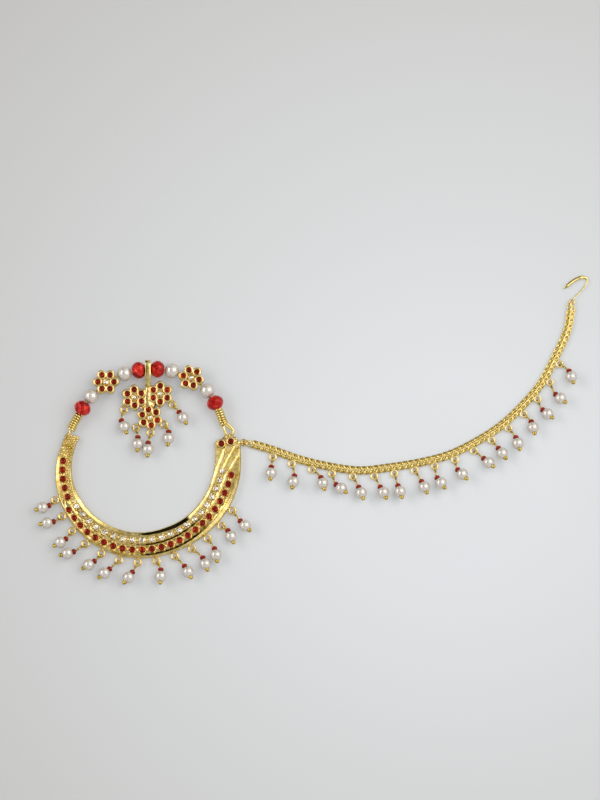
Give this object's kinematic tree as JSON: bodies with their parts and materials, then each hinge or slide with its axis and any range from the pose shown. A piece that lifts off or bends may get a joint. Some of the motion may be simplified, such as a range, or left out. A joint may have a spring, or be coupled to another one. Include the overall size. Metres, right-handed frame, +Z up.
{
  "type": "nath nose ring",
  "caption": "Hooped nose ring with a stone-set crescent, a beaded wire top, a flower pendant, pearl drops and a beaded support chain ending in an ear hook.",
  "frame": {"origin": "middle of the footprint, on the surface that the piece lies on", "axes": "+X from the hoop towards the ear hook, +Y away from the crescent's drops towards the wire, +Z up out of the front face"},
  "size_m": [0.1828, 0.1036, 0.0056],
  "materials": {
    "gold": "bright yellow gold plate, cast and polished, matte and hammered where textured",
    "red_glass": "clear bright red faceted glass",
    "red_stone": "small deep red foiled stones",
    "clear_stone": "small clear foiled stones",
    "pearl": "imitation pearl with a soft satin lustre"
  },
  "bodies": {
    "root": {"crescent_plate": "gold", "hoop_wire": "gold", "red_rondelle_1": "red_glass", "red_rondelle_2": "red_glass", "red_rondelle_3": "red_glass", "red_rondelle_4": "red_glass", "wire_pearl_1": "pearl", "wire_pearl_2": "pearl", "wire_pearl_3": "pearl", "wire_pearl_4": "pearl", "wire_flower_1": "gold", "wire_flower_2": "gold", "pendant": "gold", "chain_ring": "gold", "chain": "gold", "ear_hook": "gold", "rim_drop_1": "pearl", "rim_drop_2": "pearl", "rim_drop_3": "pearl", "rim_drop_4": "pearl", "rim_drop_5": "pearl", "rim_drop_6": "pearl", "rim_drop_7": "pearl", "rim_drop_8": "pearl", "rim_drop_9": "pearl", "rim_drop_10": "pearl", "rim_drop_11": "pearl", "rim_drop_12": "pearl", "rim_drop_13": "pearl", "pendant_drop_1": "pearl", "pendant_drop_2": "pearl", "pendant_drop_3": "pearl", "pendant_drop_4": "pearl", "pendant_drop_5": "pearl", "chain_drop_1": "pearl", "chain_drop_2": "pearl", "chain_drop_3": "pearl", "chain_drop_4": "pearl", "chain_drop_5": "pearl", "chain_drop_6": "pearl", "chain_drop_7": "pearl", "chain_drop_8": "pearl", "chain_drop_9": "pearl", "chain_drop_10": "pearl", "chain_drop_11": "pearl", "chain_drop_12": "pearl", "chain_drop_13": "pearl", "chain_drop_14": "pearl", "chain_drop_15": "pearl", "chain_drop_16": "pearl", "chain_drop_17": "pearl"}
  },
  "joints": []
}
